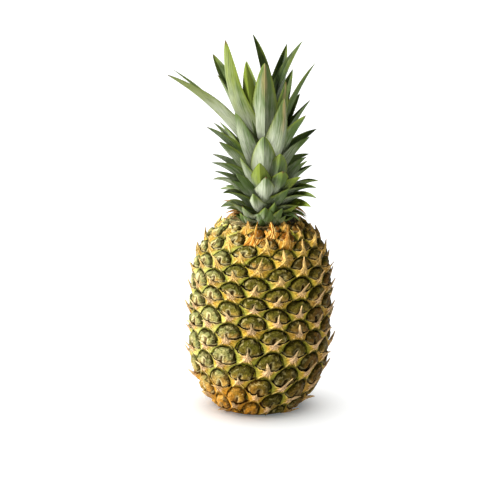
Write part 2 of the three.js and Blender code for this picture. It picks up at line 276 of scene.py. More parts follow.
def swell(along):
    """How far an upper edge of a cell bulges at a place along it: 0.14 (1 - (3 along)^2), or nothing."""
    return BULGE * np.maximum(1 - (3 * along) ** 2, 0)


def edge_of(right, left):
    """Share of the way from a cell's middle to its edge. The three upper edges bulge, and the lower ones
    are hollow by as much, so that neighbours still fit."""
    top = abs(right + left - swell(right - left))
    return np.maximum.reduce([top, abs(2 * right - left - swell(left)), abs(2 * left - right - swell(right))])


def cell_of(arc, angle):
    """Eye number, across, up and share of the way to the edge for spots on the skin: both families of rows
    are solved for the spot, and the nearest of the nine eyes round it wins."""
    t = np.interp(arc, climb(even_steps), even_steps)
    turned = angle - ZERO_TURN + TURN_SQUARE * t**2 - TURN_CUBE * t**3
    whole = RIGHT_ROWS * LEFT_TURN - LEFT_ROWS * RIGHT_TURN
    right = (t / EYE_STEP * LEFT_TURN - LEFT_ROWS * turned) / whole
    left = (RIGHT_ROWS * turned - t / EYE_STEP * RIGHT_TURN) / whole
    best = [np.zeros(right.shape)] * 3 + [np.full(right.shape, 9.0)]
    for i, j in itertools.product((-1, 0, 1), repeat=2):
        a, b = np.floor(right) + i, np.floor(left) + j
        tried = [RIGHT_ROWS * a + LEFT_ROWS * b, CELL_WIDTH * (right - a - left + b), right - a + left - b]
        tried.append(edge_of(right - a, left - b))
        best = [np.where(tried[3] < best[3], new, old) for new, old in zip(tried, best)]
    return best


print("the front of the waist is in eye", cell_of(np.array([WAIST_ARC]), np.zeros(1))[0])

# %% [markdown]
# ## The face of an eye
# Under its bract each eye is a low round plate with rounded sepals. They meet in a slit, which gapes on the
# left side, and a deep narrow groove rings the plate. Displacement from a texture would blur the groove, so
# the relief is a formula in the cell's own places.

# %% Plate and sepals
FACE_MIDDLE, FACE_HALF_WIDTH, FACE_HALF_HEIGHT, FACE_POWER = 0.14, 0.745, 0.82, 2.3
# place across, place up and size of the sepals to each side and on top
SEPALS = [(-0.33, 0.22, 0.5), (0.33, 0.22, 0.5), (0.0, 0.62, 0.44)]


def face_rim(number, across, up):
    """Share of the way from the middle of the plate to its rim: an oval of power 2.3 and three sines."""
    turn, luck = np.arctan2(across, up - FACE_MIDDLE), phase(number, 14)
    wide, high = abs(across / FACE_HALF_WIDTH), abs((up - FACE_MIDDLE) / FACE_HALF_HEIGHT)
    oval = (wide**FACE_POWER + high**FACE_POWER) ** (1 / FACE_POWER)
    ragged = 1 + 0.045 * np.sin(3 * turn + luck) + 0.03 * np.sin(8 * turn + 3 * luck)
    return oval * (ragged + 0.015 * np.sin(17 * turn - luck))


def bract_rim(side):
    """Height in the cell of a bract's free edge: -0.28 in the middle, and up by 0.36 side^2.5."""
    return -0.28 + 0.36 * side**2.5


def sepal_share(number, across, up):
    """Height of the sepals from 0 to 1: the greatest of three half balls of differing size, so that creases
    are left where they meet."""
    share = np.zeros_like(up)
    for kind, (x, y, size) in enumerate(SEPALS, 41):
        size = size * (0.8 + 0.35 * draw(number, kind))
        x = x + 0.16 * (draw(number, kind + 5) - 0.5)
        far = np.hypot(1.15 * (across - x), up - y) / size
        share = np.maximum(share, np.sqrt(np.clip(1 - far**2, 0, 1)) * (0.75 + 0.25 * draw(number, kind + 9)))
    return share


print("sepals of eye 5, halfway up", np.round(sepal_share(5, 0.0, np.array(0.5)), 2))

# %% Hollows, wrinkles and grooves
def cave_share(number, across, up, gape):
    """Depth of the hollows from 0 to 1: the slit, a bell across that ends above and below and is wider and
    taller where the sepals gape, or the gap along the bract's free edge."""
    middle, width = 0.16 * (draw(number, 5) - 0.5), 0.08 + 0.1 * draw(number, 4) + 0.06 * gape
    slit = bump(across, middle, width) * smooth(up, -0.35, -0.1)
    slit = slit * (1 - smooth(up, 0.15 + 0.25 * gape, 0.55 + 0.3 * gape))
    return np.maximum(slit, 1 - smooth(up - bract_rim(abs(across)), 0.0, 0.24))


def eye_relief(number, across, up, edge, gape):
    """Plate with a raised lip + sepals + wrinkles - hollows - grooves round plate and cell, in mm."""
    rim = face_rim(number, across, up)
    plate = 2.0 * np.sqrt(np.clip(1 - rim**5, 0, 1)) + 0.55 * bump(rim, 0.86, 0.09)
    dome = plate + 1.8 * sepal_share(number, across, up)
    rays = 0.16 * np.sin(9 * np.arctan2(across, up - 0.2) + phase(number, 6)) * smooth(edge, 0.2, 0.5)
    dimples = 0.35 * np.sin(10 * across + phase(number, 16)) * np.sin(9 * up + phase(number, 17))
    hollows = (1.2 + 1.4 * draw(number, 4)) * cave_share(number, across, up, gape)
    return dome + (rays + dimples) - hollows - 1.3 * bump(rim, 1.04, 0.07) - 1.2 * smooth(edge, 0.91, 0.98)


print("eye 5 stands", np.round(eye_relief(5, 0.0, np.array(0.6), 0.4, 0), 1), "mm high at its top sepal")

# %% [markdown]
# ## A grid over the skin
# Were each eye a piece of its own, the seams would have to be hidden, so a single grid asks at each point
# which eye it lies in and how high that eye stands. Its places are shaken a little, so that no edge runs
# quite straight. Below, the fruit was cut from its stalk and shows a shallow scar; above, the crown hides
# a flat end. Rings of the same columns close both.

# %% Points of the rind
COLUMNS = 372
rows = np.r_[
    np.linspace(0.3, 12, 14),
    np.linspace(13, NECK_ARC - 12, 198),
    np.linspace(NECK_ARC - 11, NECK_ARC, 12),
]
turns = np.arange(COLUMNS) * 360 / COLUMNS
spot_arc, spot_angle = np.meshgrid(rows, turns, indexing="ij")


def uncrowd(distance):
    """The reverse of crowding: distances under 6 mm become 6 (log(d/6) + 1), for 0.3 mm and more."""
    grown = CROWDING * (np.log(np.clip(distance, 0.3, None) / CROWDING) + 1)
    return np.where(distance < CROWDING, grown, distance)


to_neck = NECK_ARC - spot_arc
grown_arc = np.where(to_neck < CROWDING, NECK_ARC - uncrowd(to_neck), uncrowd(spot_arc))
uneven = 0.3 * np.sin(np.radians(23 * spot_angle) + spot_arc / 1.7)
uneven = uneven + 0.25 * np.sin(np.radians(41 * spot_angle) - spot_arc / 1.1)
eye, across, up, edge = cell_of(grown_arc + uneven, spot_angle + uneven[:, ::-1])
ends_fade = smooth(spot_arc, 0, 9) * smooth(to_neck, 0, 5)
gape = smooth(-np.sin(np.radians(spot_angle)), 0.45, 0.85) * draw(eye, 19)
skin = skin_point(spot_arc, spot_angle, eye_relief(eye, across, up, edge, gape) * ends_fade)
print("rind grid", skin.shape[:2], "over eyes", int(eye.min()), "to", int(eye.max()))

# %% Scar and lid
SCAR_RADII = [1.5, 5, 9, 12.5, 14, 15.5, 19, 23, 27, 30.5, 32.6]
SCAR_HEIGHTS = [1.6, 1.7, 1.5, 1.9, 1.2, 0.4, 0.25, 0.15, 0.05, 0, 0]
LID_RADII = [11, 4]


def flat_rings(radii, heights):
    """Rings of points round the leant axis, one for each radius and height."""
    ring = direction(turns)[None] * np.asarray(radii, float)[:, None, None]
    ring[..., 0] += LEAN * np.asarray(heights)[:, None]
    ring[..., 2] = np.asarray(heights)[:, None]
    return ring


scar = flat_rings(SCAR_RADII, SCAR_HEIGHTS)
scar[1:5, :, 2] += 0.5 * draw(np.arange(COLUMNS) // 3, 6)
lid = flat_rings(LID_RADII, [FRUIT_HEIGHT] * len(LID_RADII))
poles = np.array([[0.0, 0.0, SCAR_HEIGHTS[0]], [LEAN * FRUIT_HEIGHT, 0.0, FRUIT_HEIGHT]])
rind_points = np.concatenate([scar.reshape(-1, 3), skin.reshape(-1, 3), lid.reshape(-1, 3), poles])
print("scar", np.round(scar[..., 2].max(), 1), "mm deep,", len(rind_points), "points in all")

# %% [markdown]
# ## From points to a piece
# A finish needs to know where on an eye or a leaf it is. An image would need every face unwrapped on to it,
# so each point of a mesh carries its own places instead, three numbers to a layer.

# %% Make a piece
def triples(shape, *parts):
    """A row of three values for each point. A part that is the same for many points is repeated."""
    return np.stack([np.broadcast_to(part, shape) for part in parts], -1).reshape(-1, 3)


def add_piece(name, points, faces, values, node, crease):
    """Points in mm become a mesh in metres. Edges that turn by more degrees than the crease stay sharp."""
    mesh = bpy.data.meshes.new(name)
    mesh.from_pydata((points / 1000).tolist(), [], faces)
    mesh.shade_smooth()
    mesh.set_sharp_from_angle(angle=math.radians(crease))
    for label, vectors in values.items():
        layer = mesh.attributes.new(label, "FLOAT_VECTOR", "POINT")
        layer.data.foreach_set("vector", vectors.astype(np.float32).ravel())
    piece = bpy.data.objects.new(name, mesh)
    pineapple.objects.link(piece)
    if node == "fruit":
        body.objects.link(piece)
    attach(piece, "root")
    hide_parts(node)
    print(name, len(points), "points", len(faces), "faces")
    return piece


print("two points:", triples(2, 1, 2, 3).tolist())

# %% [markdown]
# ## The rind
# The grid becomes one closed skin. Its finish could work out the eyes again in nodes, but it is simpler for
# the points to carry them: the place in the cell, the eye's lucks, plate, sepals and hollows, and the patch
# that has dried in front, near the crown.

# %% The rind
def grid_faces(lines, columns):
    """Four-sided faces of a grid whose columns close into a ring."""
    start, column = np.arange(lines - 1)[:, None] * columns, np.arange(columns)
    a, b = (start + column).ravel(), (start + (column + 1) % columns).ravel()
    return np.stack([a, b, b + columns, a + columns], 1)


def front_neck_share(arc, angle):
    """The dried patch: a smooth step up to the neck times a bell round the front."""
    return smooth(arc, NECK_ARC - 30, NECK_ARC - 12) * bump(np.mod(angle - 10 + 180, 360) - 180, 0, 36)


def widen(grid, value):
    """The skin's values in order, with a fixed value for the points of the two flat ends."""
    below, above = len(SCAR_RADII) * COLUMNS, len(LID_RADII) * COLUMNS + len(poles)
    return np.r_[np.full(below, value), grid.ravel(), np.full(above, value)]


count = len(rind_points)
low_pole, high_pole, last_ring = count - 2, count - 1, count - 2 - COLUMNS
rind_faces = grid_faces((count - 2) // COLUMNS, COLUMNS).tolist()
rind_faces += [(low_pole, (i + 1) % COLUMNS, i) for i in range(COLUMNS)]
rind_faces += [(last_ring + i, last_ring + (i + 1) % COLUMNS, high_pole) for i in range(COLUMNS)]
dried, sepal = front_neck_share(spot_arc, spot_angle), sepal_share(eye, across, up)
cave = cave_share(eye, across, up, gape)
rind_values = {
    "cell": triples(count, widen(across, 0), widen(up, -0.5), widen(edge, 0.8)),
    "luck": triples(count, *[widen(draw(eye, kind), 0.5) for kind in (11, 12, 13)]),
    "rim": triples(count, widen(face_rim(eye, across, up), 0.8), 0, 0),
    "form": triples(count, widen(dried, 0), widen(sepal, 0), widen(cave, 0)),
}
rind = add_piece("rind", rind_points, rind_faces, rind_values, "fruit", 60)

# %% [markdown]
# ## Bracts and spines
# Over the lower half of each eye lies a bract, a tough scale with a free upper edge, whose middle is drawn
# out into a dry spine. Painting it on the rind would lose the thin shadow above its edge, so each is a
# closed shell of a few dozen faces.

# %% Sizes of each bract
FIRST_EYE, LAST_EYE = -71, 90
eyes = np.arange(FIRST_EYE, LAST_EYE + 1)[:, None, None]
middle_arc, middle_angle = eye_place(eyes, 0.0, 0.0)
middle_arc = held(middle_arc)
middle_radius = np.maximum(np.interp(middle_arc, line_arc, line_radius), 10)
degrees_per_mm = 180 / math.pi / middle_radius
half_cell = abs(eye_place(eyes, 1.0, 0.0)[1] - middle_angle) / degrees_per_mm
front_neck = front_neck_share(middle_arc, middle_angle)
near_top = smooth(middle_arc, NECK_ARC - 26, NECK_ARC - 10) * (1 - front_neck)
shoulder = smooth(middle_arc, 0.55 * NECK_ARC, 0.85 * NECK_ARC)
rightward = np.sin(np.radians(middle_angle))
left_turn, right_turn = smooth(-rightward, 0.15, 0.75), smooth(rightward, 0.7, 0.95)
broken = np.where(draw(eyes, 22) > 0.9, 0.4, 1)
spine_length = mix(8.4, 19.0, front_neck) * (0.6 + 0.75 * draw(eyes, 21)) * broken
spine_length = spine_length * (1 - 0.5 * near_top) * (0.95 - 0.55 * left_turn - 0.3 * right_turn)
spine_width = mix(4.6 + 2.4 * shoulder, 8.0, front_neck) * (0.8 + 0.4 * draw(eyes, 28))
spine_half = np.minimum(spine_width / 2 / half_cell, 0.6)
spine_lean = 8.0 * (draw(eyes, 23) - 0.5) + 4.0 * rightward
spine_lift = mix(2.0, 1.2, front_neck) + 2.4 * draw(eyes, 24) - 1.2 * near_top
arm_reach = 0.94 + 0.08 * draw(eyes, 25)
print(len(eyes), "bracts, spines", np.round([spine_length.min(), spine_length.max()], 1), "mm long")

# %% [markdown]
# ## The outline of a bract
# The foot of a bract is tucked between the eyes below, and its free rim is a little ragged. A curve could
# trace one, but the eyes below differ, so the foot is searched for: of 341 heights in each column, the
# lowest that clears the three plates below is taken.

# %% Outline of each bract
half_share = np.array([1.0, 0.8, 0.62, 0.46, 0.3, 0.13])
column_share = np.r_[-half_share, np.zeros(7), half_share[::-1]][:, None]
column_spine = np.r_[np.zeros(6), -1.0, -0.55, -0.24, 0, 0.24, 0.55, 1.0, np.zeros(6)][:, None]
column_reach = np.r_[np.zeros(7), 0.13, 0.45, 1.0, 0.45, 0.13, np.zeros(7)][:, None]
column_count = len(column_share)
bract_across = np.sign(column_share) * (spine_half + (1 - spine_half) * abs(column_share))
bract_across = arm_reach * (bract_across + column_spine * spine_half)
side = abs(bract_across)
rim = bract_rim(side) + 0.3 * near_top + 0.14 * bump(side, 0, 0.2)
rim = rim + 0.16 * (draw(eyes, 26) - 0.5) * bract_across
notches = draw(column_count * eyes + np.arange(column_count)[:, None], 29) - 0.5
rim = rim + 0.1 * notches * (side < 0.9)
trial = np.linspace(-1.4, 0.3, 341)
trial_right, trial_left = row_shares(bract_across, trial)
inside = edge_of(trial_right, trial_left) < 1.05
for x, y in [(1, 1), (1, 0), (0, 1)]:
    lower_across = CELL_WIDTH * (trial_right + x - trial_left - y)
    lower_up = trial_right + x + trial_left + y
    lower_eye = eyes - RIGHT_ROWS * x - LEFT_ROWS * y
    inside = inside & (face_rim(lower_eye, lower_across, lower_up) > 1.07)
foot = np.where(inside.any(-1), trial[np.argmax(inside, -1)], -0.1)[..., None]
foot = np.minimum(foot, rim - 0.12)

# six lines round the shell: hidden foot, foot, two on the face, free rim, and the rim's back
line_share = np.array([0.0, 0.0, 0.4, 0.78, 1.0, 0.95])
line_drawn = np.array([0, 0, 0, 0.1, 1.0, 1.0])
is_hidden, is_back = np.eye(6)[0], np.eye(6)[5]
bract_up = foot + (rim - foot) * line_share
drawn_out = column_reach * line_drawn * np.ones_like(bract_up)
print("columns", column_count, "lines", len(line_share))

# %% [markdown]
# ## The relief of a bract
# From outside a bract is a five-pointed star: a raised heart, two legs down to the cell's lower corners, two
# arms along the rim, and the spine. A carved star could be copied, but then all would be alike, so bells
# are added up instead, bolder on some eyes. The bracts move only with the fruit and become one mesh.

# %% Relief of each bract
# bells round the heart and round a leg, which runs from the heart to a lower corner, and a step to the rim
down = np.clip((-0.3 - bract_up) / 0.75, 0, 1)
heart = bump(np.hypot(bract_across, bract_up + 0.34), 0, 0.4)
leg, arm = bump(abs(bract_across), 0.5 * down, 0.15), smooth(line_share, 0.66, 1.0)
boldness = 0.7 + 0.6 * draw(eyes, 27)
bract_lift = 0.35 + 0.45 * line_share + boldness * (2.7 * heart + 1.2 * leg + 0.5 * arm)
bract_lift = bract_lift - 2.6 * is_hidden - 0.9 * is_back
bract_lift = bract_lift + drawn_out**1.2 * (spine_lift - 0.4 * is_back)
bract_arc, bract_angle = eye_place(eyes, bract_across, bract_up)
bract_arc = held(bract_arc) + drawn_out * spine_length
bract_angle = bract_angle + drawn_out**2 * spine_lean * degrees_per_mm
bract_points = skin_point(bract_arc, bract_angle, bract_lift)
print("highest bract stands", np.round(bract_lift.max(), 1), "mm off the skin")

# %% All bracts at once
def shell_faces(count, columns, around):
    """Faces of many closed shells: each is a grid of rings, wound the other way, capped at both ends."""
    walls, ring = grid_faces(columns, around)[:, [0, 3, 2, 1]], np.arange(around)
    caps = np.stack([ring, ring[::-1] + (columns - 1) * around])
    start = (np.arange(count) * columns * around)[:, None, None]
    return (walls + start).reshape(-1, 4).tolist() + (caps + start).reshape(-1, around).tolist()


bract_values = {
    "cell": triples(bract_up.shape, bract_across, bract_up, 1 - line_share),
    "star": triples(bract_up.shape, heart, drawn_out, side),
    "neck": triples(bract_up.shape, front_neck, shoulder, 0),
    "luck": triples(bract_up.shape, *[draw(eyes, kind) for kind in (11, 12, 13)]),
}
bract_faces = shell_faces(len(eyes), column_count, len(line_share))
bracts = add_piece("bracts", bract_points.reshape(-1, 3), bract_faces, bract_values, "fruit", 50)

# %% [markdown]
# ## Leaf blades
# A crown leaf is a stiff strap that arches out from a blunt stem: channelled, keeled along its back, broadest
# low down, with small teeth. A plane bent by a modifier would lose the teeth and the channel, so a ring of
# points is carried along a curve, narrowed to the point and turned by a twist. High leaves grow from high
# on the stem, and low ones curl at the point.

# %% Middle line of a blade
CROWN_OFFSET, CROWN_FOOT, STEM_RADIUS, STEM_HEIGHT = 6.5, 175.1, 15.5, 82.0
ROOT_DEPTH, STEP_LENGTH = 2.5, 3.2


def middle_line(number, azimuth, reach, rise, bow):
    """Share s along the leaf, points (1-s)^2 root + 2s(1-s) control + s^2 tip, the direction there and the
    length. The control point stands off the chord by twice the bow."""
    root_rise = mix(0.6, 2.6, smooth(rise, 15, 40)) + 0.38 * max(rise, 0) * smooth(rise, 12, 45)
    root_reach = max(STEM_RADIUS * math.sqrt(1 - (root_rise / STEM_HEIGHT) ** 2) - ROOT_DEPTH, 1)
    out = direction(azimuth)
    foot_point = np.array([CROWN_OFFSET, 0, CROWN_FOOT])
    root = foot_point + out * root_reach + [0, 0, root_rise]
    tip = foot_point + out * reach + [0, 0, rise]
    length = np.linalg.norm(tip - root)
    chord = (tip - root) / length
    control = (root + tip) / 2 + np.cross(chord, direction(azimuth + 90)) * 2 * bow * length
    steps = 2 * int(length / STEP_LENGTH) + 5
    s = (1 - (1 - np.linspace(0, 1, steps)) ** 1.25)[:, None]
    curl = 1.1 * draw(number, 33) ** 2 * (1 - smooth(rise, 30, 60)) * np.maximum(s - 0.7, 0) ** 2 * length
    at = (1 - s) ** 2 * root + 2 * s * (1 - s) * control + s**2 * tip - curl * np.array([0, 0, 1])
    along = (1 - s) * (control - root) + s * (tip - control)
    along /= np.linalg.norm(along, axis=1, keepdims=True)
    return s, at, along, length


print("a leaf that rises 100 mm is", np.round(middle_line(0, 0, 40, 100, 0.05)[3], 1), "mm long")

# %% One blade
AROUND = 16
face_across = np.array([-1.0, -0.86, -0.6, -0.3, 0.0, 0.3, 0.6, 0.86, 1.0])
ring_across = np.r_[face_across, face_across[-2:0:-1]]
ring_is_back = np.r_[np.zeros(9), np.ones(7)]
ring_far = abs(ring_across)
# numbers of the leaves that turn yellow, that dry at the point, and that carry much wax
RIPENING, DRYING = (1, 4, 12, 34, 37, 53, 67), (5, 9, 10)
WAXY = (1, 3, 5, 10, 12, 15, 31, 33, 39, 63, 66, 71, 73)


def blade(number, azimuth, reach, rise, width, bow, twist=None):
    """The ring at each s: half the width times (1 - s^p)^q to each side, edges raised by a V-shaped channel,
    back lowered by the keel, teeth at every other step, rolled by s times the twist. Broad leaves get a
    blunter p and q. A leaf without a twist of its own takes one by its rise and azimuth."""
    s, at, along, length = middle_line(number, azimuth, reach, rise, bow)
    tall, broad = smooth(rise, 20, 70), smooth(width, 19, 27) * (1 - 0.25 * smooth(rise, 90, 110))
    twist = mix(35, -45, tall) * math.sin(math.radians(2 * azimuth)) if twist is None else twist
    roll, flat_side = np.radians(twist) * s, direction(azimuth + 90)
    across_way = flat_side * np.cos(roll) + np.cross(along, flat_side) * np.sin(roll)
    upper_way = np.cross(along, across_way)
    taper = np.maximum(1 - s ** mix(2.1, 2.8, broad), 0) ** mix(0.85, 0.62, broad)
    half = np.maximum(width / 2 * taper, 0.2)
    tooth = 0.4 * (np.arange(len(s))[:, None] % 2) * taper * (ring_far == 1)
    wave = 0.6 * np.sin(s * length / 9 + number * 2.4 + 2 * ring_across) * ring_far**3 * taper
    trough = half * mix(0.95, 0.6, s) * ring_far ** mix(1.6, 1.15, tall)
    wall = mix(2.2, 0.9, s) * (1 - ring_far**1.6) * taper**0.5
    height = trough + wave - ring_is_back * wall
    spread = ring_across * half + np.sign(ring_across) * tooth
    points = at[:, None] + across_way[:, None] * spread[..., None] + upper_way[:, None] * height[..., None]
    ages = [1.0 if number in chosen else 0.5 * draw(number, 34) for chosen in (RIPENING, DRYING, WAXY)]
    values = {
        "blade": triples(spread.shape, ring_across, s, ring_is_back),
        "fibre": triples(spread.shape, spread, s * length, number * 31.0),
        "luck": triples(spread.shape, draw(number, 31), draw(number, 32), length / 170),
        "age": triples(spread.shape, *ages),
    }
    return points, values


def add_whorl(name, rows, first):
    """Joins a blade for each row of numbers into one mesh."""
    points, faces, values, start = [], [], {}, 0
    for number, row in enumerate(rows, first):
        blade_points, blade_values = blade(number, *row)
        faces += [[start + i for i in face] for face in shell_faces(1, len(blade_points), AROUND)]
        points.append(blade_points.reshape(-1, 3))
        for label, vectors in blade_values.items():
            values.setdefault(label, []).append(vectors)
        start += len(points[-1])
    values = {label: np.concatenate(vectors) for label, vectors in values.items()}
    return add_piece(name, np.concatenate(points), faces, values, "crown", 55)


print("each leaf is ringed by", AROUND, "points")

# %% [markdown]
# ## The crown
# The front of a crown is read leaf by leaf, and a rule alone would give a tidy rosette. So the front and side
# leaves are listed from the top down, most with the numbers of the solid model, and those at the back
# follow a spiral. Round the foot stands a collar of short scales that have died back.

# %% Long leaves
# azimuth from the front (+ towards +X), reach and rise of the tip, width, bow, and for some a twist
long_leaves = [
    (-110, 12, 169, 20, 0.08), (-62, 40, 166, 25, -0.1, 15), (-125, 58, 147, 22, 0.02),
    (-92, 43, 133, 15, 0.03), (-38, 28, 147, 20, -0.02), (-1, 30, 147, 26, -0.05), (150, 40, 156, 20, 0.05),
    (105, 35, 162, 20, 0.08), (85, 45, 144, 15, 0.05), (45, 26, 129, 18, -0.02), (24, 41, 117, 25, -0.12, 15),
    (92, 41, 110, 19, 0.06), (-63, 97, 139, 19, 0.06), (-98, 84, 136, 8, 0.06), (-112, 53, 110, 17, 0.06),
    (-42, 40, 103, 27, -0.07, -15), (62, 41, 99, 21, 0.05),
]
whorls = [add_whorl("long_leaves", long_leaves, 0)]

# %% Middle leaves
middle_leaves = [
    (62, 45, 80, 17, 0.06), (95, 28, 68, 16, 0.03), (68, 40, 61, 17, 0.04), (80, 39, 56, 16, 0.04),
    (95, 43, 50, 16, 0.05), (-100, 47, 88, 14, 0.05), (-92, 41, 90, 14, 0.05), (-62, 59, 90, 16, 0.07),
    (-55, 50, 77, 19, 0.03), (-68, 51, 64, 15, 0.09), (-60, 55, 58, 17, 0.09), (-2, 38, 83, 25, -0.1),
    (22, 36, 67, 23, -0.08), (-33, 41, 64, 22, -0.06, -50), (-7, 41, 60, 23, -0.14), (24, 39, 52, 24, -0.12),
    (-40, 40, 49, 19, -0.03), (45, 45, 47, 19, -0.02), (-48, 41, 43, 17, 0.0), (1, 40, 48, 22, -0.16),
]
whorls.append(add_whorl("middle_leaves", middle_leaves, 20))

# %% Short leaves
short_leaves = [
    (70, 51, 41, 15, 0.08), (58, 54, 36, 14, 0.12), (55, 56, 28, 14, 0.15), (55, 50, 18, 18, 0.15),
    (75, 39, 6, 7, 0.18), (45, 44, 6, 7, 0.18), (-72, 48, 48, 14, 0.09), (-62, 53, 44, 14, 0.09),
    (-58, 45, 31, 14, 0.12), (-60, 46, 18, 16, 0.13), (-70, 37, 13, 9, 0.14), (-85, 33, 20, 12, 0.09),
    (33, 39, 37, 21, -0.1), (-16, 39, 32, 20, -0.14), (15, 34, 23, 17, -0.18), (24, 38, 21, 17, -0.2),
    (-34, 37, 20, 20, -0.18), (52, 40, 22, 16, -0.05), (-52, 40, 24, 15, -0.05), (0, 36, 21, 16, -0.2),
    (19, 32, 14, 22, -0.26), (-12, 30, 13, 23, -0.26), (34, 33, 12, 19, -0.22), (-36, 33, 12, 22, -0.24),
    (43, 33, 8, 14, -0.15), (4, 29, 10, 20, -0.28), (-58, 31, 9, 17, -0.15), (62, 31, 8, 17, -0.12),
    (-24, 27, 6, 20, -0.28), (26, 27, 6, 19, -0.28), (-85, 27, 6, 16, -0.05), (95, 27, 6, 16, -0.05),
    (30, 30, 11, 23, -0.28), (-45, 32, 11, 23, -0.24), (-8, 29, 8, 22, -0.3), (8, 34, 16, 24, -0.24),
]
whorls.append(add_whorl("short_leaves", short_leaves, 50))

# %% Leaves at the back
def back_rows():
    """Leaf i turns by 137.5 degrees. The share i/66 makes it longer, broader and straighter, and a sine
    sways its tip. Only those behind the crown are kept."""
    item = np.arange(66)
    turn, share, sway = (40 + item * 137.5) % 360, item / 66, np.sin(item * 12.9898)
    reach = mix(44, 40, share) + 9 * sway + 22 * share * (1 - share)
    rise = mix(6, 138, share**0.9) + 5 * sway
    table = np.stack([turn, reach, rise, mix(13, 19, share), mix(0.2, 0.04, share)], 1)
    return table[(turn > 112) & (turn < 252)].tolist()


whorls.append(add_whorl("back_leaves", back_rows(), 90))

# %% Dry collar
dry_scales = [
    (-98, 30, 5, 10, 0.05), (-74, 31, 6, 11, 0.05), (-50, 26, 0, 11, 0.0), (-27, 24, -3, 11, 0.0),
    (-6, 23, -4, 12, 0.0), (15, 23, -4, 12, 0.0), (38, 24, -3, 11, 0.0), (60, 27, 0, 11, 0.0),
    (83, 31, 5, 11, 0.05), (105, 30, 5, 10, 0.05), (80, 39, 2, 4, 0.25), (75, 34, -2, 4, 0.3),
    (-80, 40, 20, 4, 0.15), (-76, 37, 8, 4, 0.2), (68, 41, 9, 5, 0.28), (-66, 40, 4, 4, 0.25),
]
collar = add_whorl("dry_collar", dry_scales, 160)

# %% [markdown]
# ## The crown's stem
# The leaves hide nearly all of the stem, a blunt cone ringed by the scars of old leaves. A plain cone would
# show its straight side between the roots, so it is a turned profile with a small ripple.

# %% Stem
STEM_LINES, STEM_COLUMNS = 60, 48
stem_share = np.linspace(0, 1, STEM_LINES)[:, None]
stem_turns = np.arange(STEM_COLUMNS) * 360 / STEM_COLUMNS
stem_radius = STEM_RADIUS * np.sqrt(1 - 0.985 * stem_share**2) + 0.3 * np.sin(stem_share * 170)
stem_points = direction(stem_turns)[None] * stem_radius[..., None]
stem_points[..., 0] += CROWN_OFFSET
stem_points[..., 2] = CROWN_FOOT + STEM_HEIGHT * 0.99 * stem_share
stem_points = stem_points.reshape(-1, 3)
count = len(stem_points)
stem_faces = grid_faces(STEM_LINES, STEM_COLUMNS).tolist()
stem_faces += [list(range(STEM_COLUMNS))[::-1], list(range(count - STEM_COLUMNS, count))]
stem_values = {
    "blade": triples(count, 0.0, 0.1, 1.0),
    "fibre": stem_points,
    "luck": triples(count, 0.5, 0.5, 0.2),
    "age": triples(count, 0.0, 0.0, 0.0),
}
stem = add_piece("crown_stem", stem_points, stem_faces, stem_values, "crown", 60)

# %% [markdown]
# ## Shader sums
# A finish is a long sum of noises and places. Its nodes could be dragged by hand in the shader editor, but
# nobody can read the sum there. So a small class wraps a socket, and adding or multiplying two of them adds
# the Math node.

# %% A socket that can be summed
class Wire:
    """An output socket; each operator adds a Math node that takes it."""

    def __init__(self, socket):
        self.socket = socket

    def __add__(self, other):
        return maths("ADD", self, other)

    def __sub__(self, other):
        return maths("SUBTRACT", self, other)

    def __rsub__(self, other):
        return maths("SUBTRACT", other, self)

    def __mul__(self, other):
        return maths("MULTIPLY", self, other)

    __radd__ = __add__

    def step(self, low, high):
        """A smooth step from 0 at low to 1 at high."""
        sockets = {"Value": self, "From Min": low, "From Max": high}
        return node("ShaderNodeMapRange", {"interpolation_type": "SMOOTHSTEP"}, sockets)


class Finish:
    """A material on some pieces. The one in coat is being painted, and the functions below work on it."""

    def __init__(self, name, specular, pieces):
        self.material = bpy.data.materials.new(name)
        self.material.use_nodes = True
        self.tree = self.material.node_tree
        self.shader = self.tree.nodes["Principled BSDF"]
        self.shader.inputs["Specular IOR Level"].default_value = specular
        for piece in pieces:
            piece.data.materials.append(self.material)


def fill(made, sockets):
    for name, value in sockets.items():
        if isinstance(value, Wire):
            coat.tree.links.new(value.socket, made.inputs[name])
        else:
            made.inputs[name].default_value = value


def node(kind, settings, sockets, *outputs):
    """Adds a node and gives its first output, or those that are named."""
    made = coat.tree.nodes.new(kind)
    for name, value in settings.items():
        setattr(made, name, value)
    fill(made, sockets)
    wires = [Wire(made.outputs[name]) for name in outputs or (0,)]
    return wires if len(wires) > 1 else wires[0]


def maths(operation, a, b=0.0):
    return node("ShaderNodeMath", {"operation": operation}, {0: a, 1: b})


# %% Places, noises and colours
def split(vector):
    return node("ShaderNodeSeparateXYZ", {}, {0: vector}, "X", "Y", "Z")


def layer(label):
    """The vector that each point of the mesh carries."""
    return node("ShaderNodeAttribute", {"attribute_name": label}, {}, "Vector")


def place():
    return node("ShaderNodeTexCoord", {}, {}, "Object")


def noise(scale, detail=3.0, vector=None):
    sockets = {"Vector": vector or place(), "Scale": scale, "Detail": detail}
    return node("ShaderNodeTexNoise", {}, sockets)


def ribbon(number):
    """Noise along a single number."""
    return node("ShaderNodeTexNoise", {"noise_dimensions": "1D"}, {"W": number, "Scale": 1.0, "Detail": 2.0})


def streaks(x, y, luck, fineness):
    """Noise of the direction from a middle, which runs out as rays do."""
    return ribbon(maths("ARCTAN2", x, y) * fineness + luck * 60.0)


def strands(across, along, scale, detail):
    """Noise drawn out along a leaf's fibres."""
    sockets = {"Vector": layer("fibre"), "Scale": (across, along, 1.0)}
    return noise(scale, detail, node("ShaderNodeMapping", {}, sockets))


def blend(share, a, b):
    return node("ShaderNodeMix", {"data_type": "RGBA"}, {0: share, 6: a, 7: b}, 2)


def paint(share, colour):
    """Lays a colour over what is painted so far, by a share."""
    coat.colour = blend(share, coat.colour, colour)


